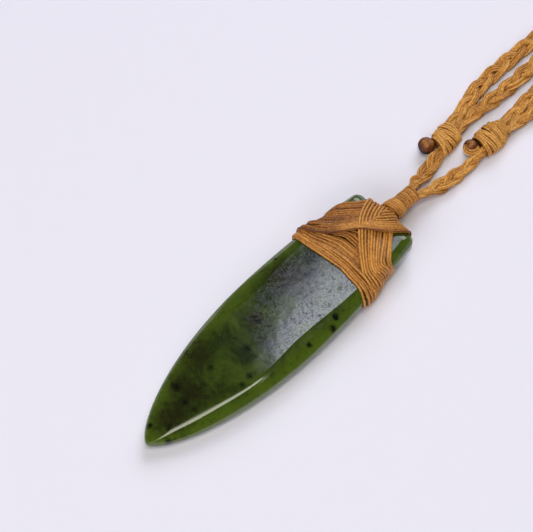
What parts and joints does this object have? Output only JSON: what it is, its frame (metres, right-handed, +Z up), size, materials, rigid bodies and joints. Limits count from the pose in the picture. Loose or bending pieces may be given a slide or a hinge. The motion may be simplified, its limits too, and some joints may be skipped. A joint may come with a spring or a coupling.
{
  "type": "jade adze pendant on a plaited cord necklace",
  "caption": "Leaf-shaped jade adze lashed with waxed thread to a plaited cord necklace that closes with sliding knots.",
  "frame": {"origin": "on the table under the middle of the whole necklace's box", "axes": "+Y from the tip of the stone to its butt and on to the far end of the loop, +Z up from the table, +X to the right"},
  "size_m": [0.1038, 0.3046, 0.0095],
  "materials": {
    "jade": "polished",
    "waxed_thread": "satin",
    "plaited_cord": "satin",
    "singed_end": "satin"
  },
  "bodies": {
    "root": {"blade": "jade", "lashing_lower_band": "waxed_thread", "lashing_top_band": "waxed_thread", "lashing_cross_band": "waxed_thread", "neck_whipping": "waxed_thread", "left_plait_strand_1": "plaited_cord", "left_plait_strand_2": "plaited_cord", "left_plait_strand_3": "plaited_cord", "right_plait_strand_1": "plaited_cord", "right_plait_strand_2": "plaited_cord", "right_plait_strand_3": "plaited_cord", "left_knot": "plaited_cord", "right_knot": "plaited_cord", "left_end_ball": "singed_end", "right_end_ball": "singed_end"}
  },
  "joints": []
}
